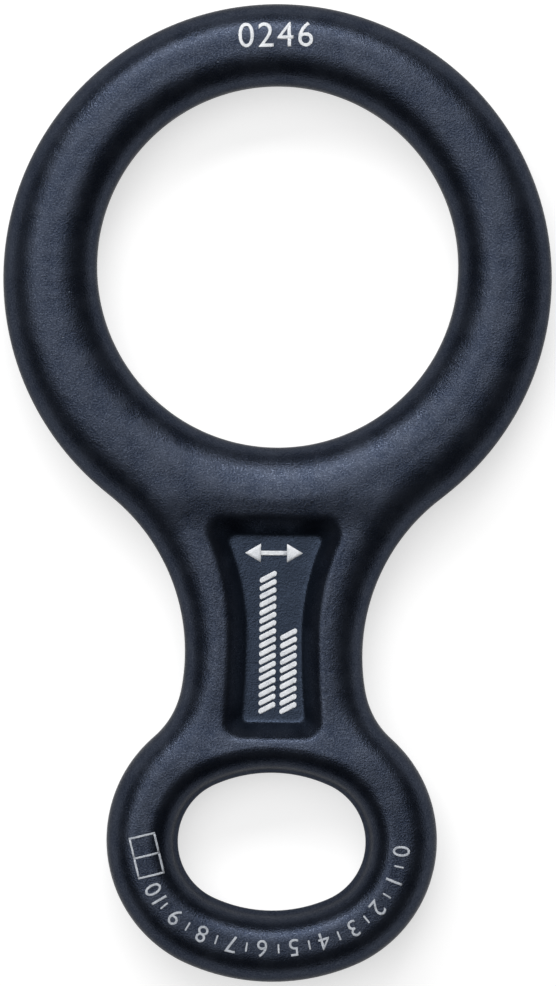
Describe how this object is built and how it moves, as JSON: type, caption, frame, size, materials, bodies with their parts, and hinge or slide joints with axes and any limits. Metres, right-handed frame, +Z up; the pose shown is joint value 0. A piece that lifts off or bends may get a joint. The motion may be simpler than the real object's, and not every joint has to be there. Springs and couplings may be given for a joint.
{
  "type": "figure-eight rope descender",
  "caption": "Forged figure-eight rope descender: a large round rope ring joined by a waisted, recessed neck to a small oval carabiner eye, for lowering on a rope by friction.",
  "frame": {"origin": "centre of the box around the part, on the plane it lies on", "axes": "+Y from the carabiner eye to the rope ring, +Z up out of the front face, +X to the right of the front face"},
  "size_m": [0.076, 0.1354, 0.012],
  "materials": {
    "anodised_aluminium": "tumbled smooth, then anodised very dark navy, satin"
  },
  "bodies": {
    "root": {"forged_body": "anodised_aluminium"}
  },
  "joints": []
}
